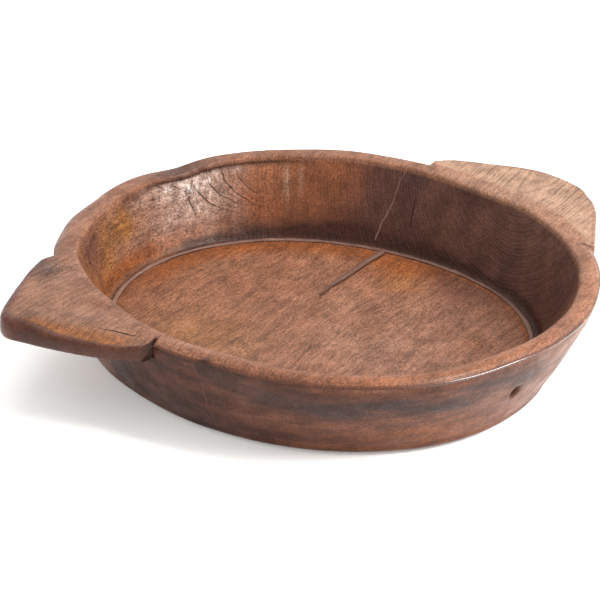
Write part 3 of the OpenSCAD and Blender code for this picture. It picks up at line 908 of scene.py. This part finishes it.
class BOWL_OT_body(bpy.types.Operator):
    """Carves the bowl, its rim and both lugs out of one skin"""
    bl_idname = "bowl.body"
    bl_label = "Bowl Body"

    def execute(self, context):
        a = stations(620)
        a[-1] = a[0] + 360
        rings = body_rings(a)
        piece = sheet("bowl_body_carved", np.stack([points for zone, share, points in rings]))
        fields = [wood_fields(zone, share, a, points) for zone, share, points in rings]
        fields = {name: np.stack([f[name] for f in fields]) for name in TONES + FIELDS}
        for name in FIELDS:
            add_field(piece, name, fields[name])
        tints = piece.data.attributes.new("tint", "FLOAT_COLOR", "POINT")
        tints.data.foreach_set("color", tint(fields).astype(np.float32).ravel())
        close_up(piece)
        finish_piece(piece, "bowl_body", oiled_hardwood())
        return {"FINISHED"}


class BOWL_OT_bead(bpy.types.Operator):
    """Lays the putty bead round the floor"""
    bl_idname = "bowl.bead"
    bl_label = "Floor Edge Bead"

    def execute(self, context):
        a = np.linspace(-180, 180, 361)
        low_t, foot_radius = wall_foot(a)
        spot = place(a, foot_radius, 0)
        middle = foot_radius - BEAD_IN + 0.4 * rough(spot, 30, 21)
        half = size("bead_width") / 2 * (1 + 0.3 * rough(spot, 12, 22))
        rings = []
        for s in np.linspace(0, 360, RING_STEPS):
            up = 0.95 * sin_deg(s) if sin_deg(s) > 0 else 0.8 * sin_deg(s)
            ring = place(a, middle + half * cos_deg(s), size("floor_thick") + up, FLOOR_SHIFT)
            ring[..., 2] += 0.3 * rough(ring, 5, 24) * (sin_deg(s) > 0.1)
            rings.append(ring)
        piece = sheet("putty_bead", np.stack(rings))
        # The crown is paler towards the back-left: wear and a painted highlight.
        add_crown(piece, 0.25 + bump(apart(a, 140), 60) + 0.5 * rough(spot, 9, 23))
        close_up(piece)
        finish_piece(piece, "floor_edge_bead", filling_putty("grey_putty", "putty"))
        return {"FINISHED"}


def add_crown(piece, rubbed_and_highlight):
    """Marks the crown of a bead or strip of putty by how pale it is along its length, from wear and a
    painted highlight.
    """
    crowns = [rubbed_and_highlight * bump(apart(s, 90), 50) for s in np.linspace(0, 360, RING_STEPS)]
    add_field(piece, "crown", np.stack(crowns))


def press_in(name, surface, half_widths, proud, deep, rubbed_and_highlight):
    """A strip of putty pressed into a split. surface(u, s) gives the wood's points at u mm across the split
    and at a share s along it. In its middle the strip stands proud of the wood and reaches deep below it."""
    along = np.linspace(0, 1, len(half_widths))
    level = np.stack([surface(np.full_like(along, u), along) for u in (-1.0, 0.0, 1.0)])
    across = level[2] - level[0]
    onward = np.gradient(level[1], axis=0)
    outward = np.cross(onward, across)
    outward /= np.linalg.norm(outward, axis=1)[:, None]
    half = half_widths * (1 + 0.3 * rough(level[1], 9, 31))
    rows = []
    for turn_by in np.linspace(0, 360, RING_STEPS):
        u = half * cos_deg(turn_by)
        up = sin_deg(turn_by) * (proud if sin_deg(turn_by) > 0 else deep) - 0.12
        up = up + 0.12 * rough(level[1] + turn_by, 4, 33) * (sin_deg(turn_by) > 0.1)
        rows.append(surface(u, along) + outward * (up * (half > 0))[:, None])
    piece = sheet(name, np.stack(rows))
    # A pale crown along the strip: wear and a painted highlight.
    add_crown(piece, np.full_like(along, rubbed_and_highlight))
    close_up(piece)
    return piece


def tapered(count, most, least):
    """Half-widths from most to least, closed to nothing at both ends."""
    half = np.linspace(most, least, count)
    half[0] = half[-1] = 0.0
    return half


class BOWL_OT_floor_split(bpy.types.Operator):
    """Presses putty into the split in the floor"""
    bl_idname = "bowl.floor_split"
    bl_label = "Floor Split Filler"

    def execute(self, context):
        path = np.array(FLOOR_SPLIT, float)
        passed = np.concatenate([[0], np.cumsum(np.hypot(*np.diff(path[:, :2], axis=0).T))])
        passed /= passed[-1]
        onward = path[-1, :2] - path[0, :2]
        onward /= np.hypot(*onward)

        def surface(u, s):
            x = np.interp(s, passed, path[:, 0]) + u * onward[1]
            y = np.interp(s, passed, path[:, 1]) - u * onward[0]
            return on_floor(np.stack([x, y, np.full_like(x, size("floor_thick"))], axis=-1))

        share = np.linspace(0, 1, 90)
        half = np.interp(share, passed, path[:, 2]) / 2
        half[0] = half[-1] = 0.0
        piece = press_in("putty_in_floor_split", surface, half, 0.35, 1.9, 1.9)
        finish_piece(piece, "floor_split_filler", filling_putty("brown_putty", "putty"))
        return {"FINISHED"}


class BOWL_OT_back_split(bpy.types.Operator):
    """Presses putty into the split that climbs the inner wall at the back"""
    bl_idname = "bowl.back_split"
    bl_label = "Back Wall Split Filler"

    def execute(self, context):
        def surface(u, s):
            a = 43.8 - 4.0 * s + 0.3 * np.sin(9 * s) + 0.12 * np.sin(31 * s)
            return inner_point(a + np.degrees(u / BACK_SPLIT_R), 0.06 + 0.92 * s)

        piece = press_in("putty_in_back_split", surface, tapered(70, 0.9, 0.5), 0.25, 1.0, 0.45)
        finish_piece(piece, "back_wall_split_filler", filling_putty("olive_putty", "putty"))
        return {"FINISHED"}


class BOWL_OT_front_split(bpy.types.Operator):
    """Presses pale putty into the split in the outer wall below the front rim"""
    bl_idname = "bowl.front_split"
    bl_label = "Front Wall Split Filler"

    def execute(self, context):
        def surface(u, s):
            a = -143.8 - 3.6 * s ** 1.5 + 0.3 * np.sin(11 * s) + 0.1 * np.sin(29 * s)
            return outer_point(a - np.degrees(u / FRONT_SPLIT_R), 0.12 + 0.85 * s)

        piece = press_in("putty_in_front_split", surface, tapered(70, 0.15, 0.55), 0.15, 1.0, 0.2)
        material = filling_putty("pale_putty", "pale_putty")
        finish_piece(piece, "front_wall_split_filler", material)
        return {"FINISHED"}


class BOWL_OT_stage(bpy.types.Operator):
    """Sets up the pale floor, the soft light and the camera"""
    bl_idname = "bowl.stage"
    bl_label = "Studio Stage"

    def execute(self, context):
        scene = context.scene
        bpy.ops.object.select_all(action="DESELECT")
        bpy.ops.mesh.primitive_plane_add(size=12, location=(0, 0, -0.0002))
        floor = context.object
        floor.name = "studio_floor"
        material, add = new_material("backlit_white_board")
        shader = add("BsdfPrincipled", {"Base Color": colour("floor"), "Roughness": 0.9,
                                        "Emission Color": colour("floor"), "Emission Strength": 0.25})
        add("OutputMaterial", {"Surface": shader})
        floor.data.materials.append(material)

        world = bpy.data.worlds.new("studio")
        world.use_nodes = True
        sky = world.node_tree.nodes["Background"]
        sky.inputs["Color"].default_value = (1, 1, 1, 1)
        sky.inputs["Strength"].default_value = 1.05
        scene.world = world
        scene.view_settings.view_transform = "Standard"

        target = Vector((-0.0161, 0.0086, 0.0314))     # what the camera and the lights look at
        softbox("key_softbox", -48, 34, 1.7, 0.6, 32, target)
        strip = softbox("strip_softbox", -54, 53, 1.7, 0.25, 11, target)
        strip.data.shape = "RECTANGLE"
        strip.data.size_y = 0.65
        softbox("top_softbox", 60, 75, 1.8, 1.2, 10, target)

        bpy.ops.object.camera_add(location=(-0.708, -1.293, 0.751))
        camera = context.object
        camera.name = "bowl_camera"
        camera.rotation_euler = (target - camera.location).to_track_quat("-Z", "Y").to_euler()
        camera.data.sensor_width = 36
        camera.data.lens = 140.3
        scene.camera = camera
        return {"FINISHED"}


def softbox(name, azimuth, elevation, distance, width, power, target):
    """A square area light that looks at the bowl from that direction, in degrees, metres and watts."""
    level = cos_deg(elevation)
    away = Vector((cos_deg(azimuth) * level, sin_deg(azimuth) * level, sin_deg(elevation)))
    bpy.ops.object.light_add(type="AREA", location=target + away * distance)
    light = bpy.context.object
    light.name = name
    light.data.shape = "SQUARE"
    light.data.size = width
    light.data.energy = power
    light.rotation_euler = (-away).to_track_quat("-Z", "Y").to_euler()
    return light


class BOWL_PT_panel(bpy.types.Panel):
    """Lists the bowl's pieces in the 3D view's sidebar"""
    bl_label = "Carved Bowl"
    bl_space_type = "VIEW_3D"
    bl_region_type = "UI"
    bl_category = "Bowl"

    def draw(self, context):
        for operator in OPERATORS:
            self.layout.operator(operator.bl_idname)
        for group in (context.scene.bowl_sizes, context.scene.bowl_colours):
            for name in group.bl_rna.properties.keys():
                if name not in ("rna_type", "name"):
                    self.layout.prop(group, name)


OPERATORS = (BOWL_OT_stage, BOWL_OT_body, BOWL_OT_bead, BOWL_OT_floor_split, BOWL_OT_back_split,
             BOWL_OT_front_split)
CLASSES = (BowlSizes, BowlColours, *OPERATORS, BOWL_PT_panel)


def register():
    for cls in CLASSES:
        bpy.utils.register_class(cls)
    bpy.types.Scene.bowl_sizes = bpy.props.PointerProperty(type=BowlSizes)
    bpy.types.Scene.bowl_colours = bpy.props.PointerProperty(type=BowlColours)


def unregister():
    del bpy.types.Scene.bowl_colours
    del bpy.types.Scene.bowl_sizes
    for cls in reversed(CLASSES):
        bpy.utils.unregister_class(cls)


def main():
    register()
    bpy.ops.bowl.stage()
    bpy.ops.bowl.body()
    bpy.ops.bowl.bead()
    bpy.ops.bowl.floor_split()
    bpy.ops.bowl.back_split()
    bpy.ops.bowl.front_split()


if __name__ == "__main__":
    main()
